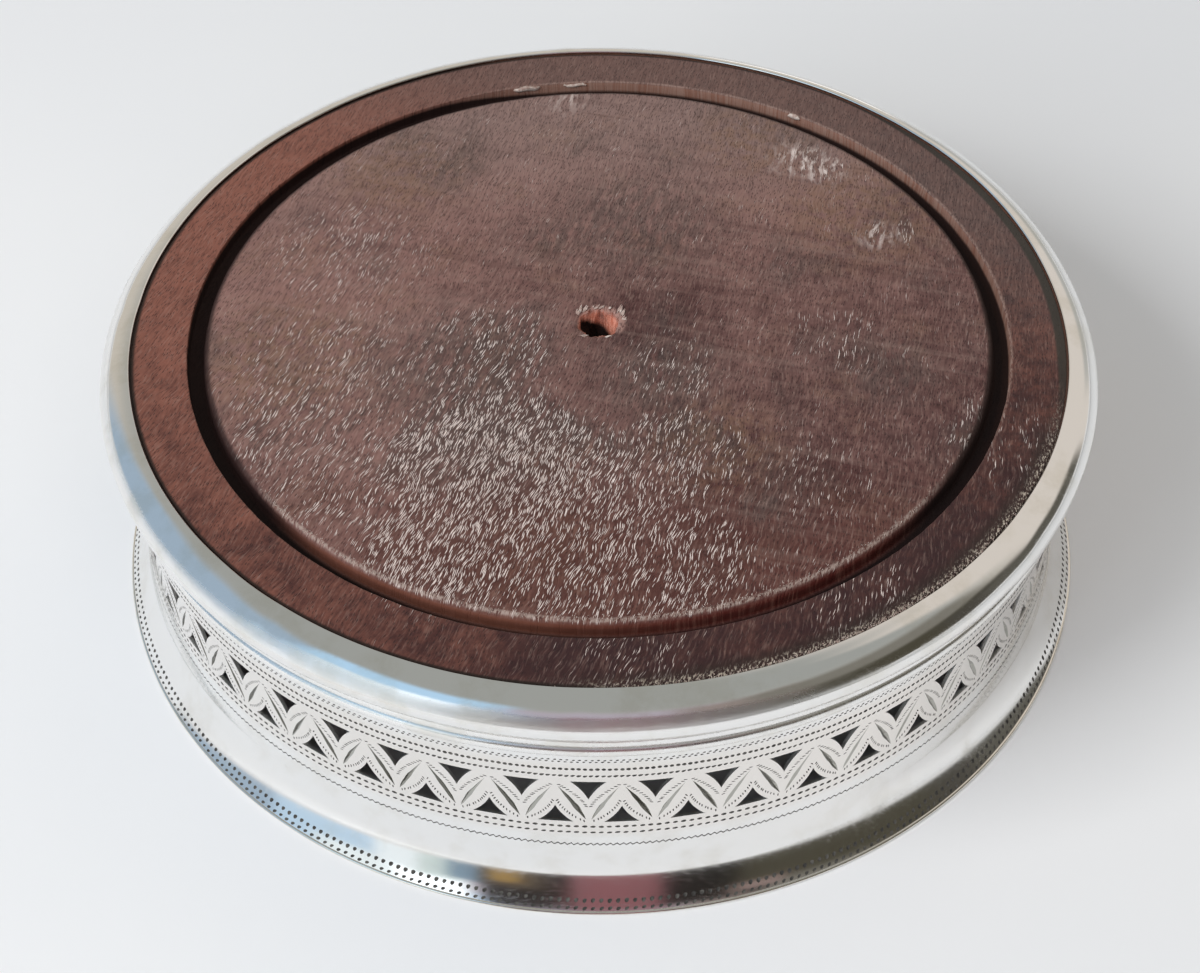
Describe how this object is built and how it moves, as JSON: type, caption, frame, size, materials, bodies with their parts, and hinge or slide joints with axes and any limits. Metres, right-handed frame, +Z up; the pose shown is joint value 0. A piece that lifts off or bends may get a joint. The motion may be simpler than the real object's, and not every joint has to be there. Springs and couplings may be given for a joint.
{
  "type": "wine bottle coaster",
  "caption": "Round silver bottle coaster with a pierced, flared gallery wall and a turned wooden base, stored inverted on its rim with the wooden underside up.",
  "frame": {"origin": "centre of the rim plane, which the inverted coaster stands on", "axes": "+Z up, along the axis of the turned pieces and out of the wooden underside; -Y faces the viewer of the picture; turned 180 degrees about X it stands on its base, ready for a bottle"},
  "size_m": [0.1286, 0.1286, 0.0362],
  "materials": {
    "silver_pierced": "hand-polished silver sheet, pierced and bright-cut engraved, with fine wear scratches",
    "silver_plain": "hand-polished plain silver with fine wear scratches",
    "dark_wood": "turned red-brown hardwood, polished on its outer ring and bare and worn inside the groove"
  },
  "bodies": {
    "root": {"gallery_wall": "silver_pierced", "rim_wire": "silver_plain", "base_moulding": "silver_plain", "reed_wire_upper": "silver_plain", "reed_wire_lower": "silver_plain", "wood_base": "dark_wood", "centre_boss": "silver_plain", "boss_pin": "silver_plain"}
  },
  "joints": []
}
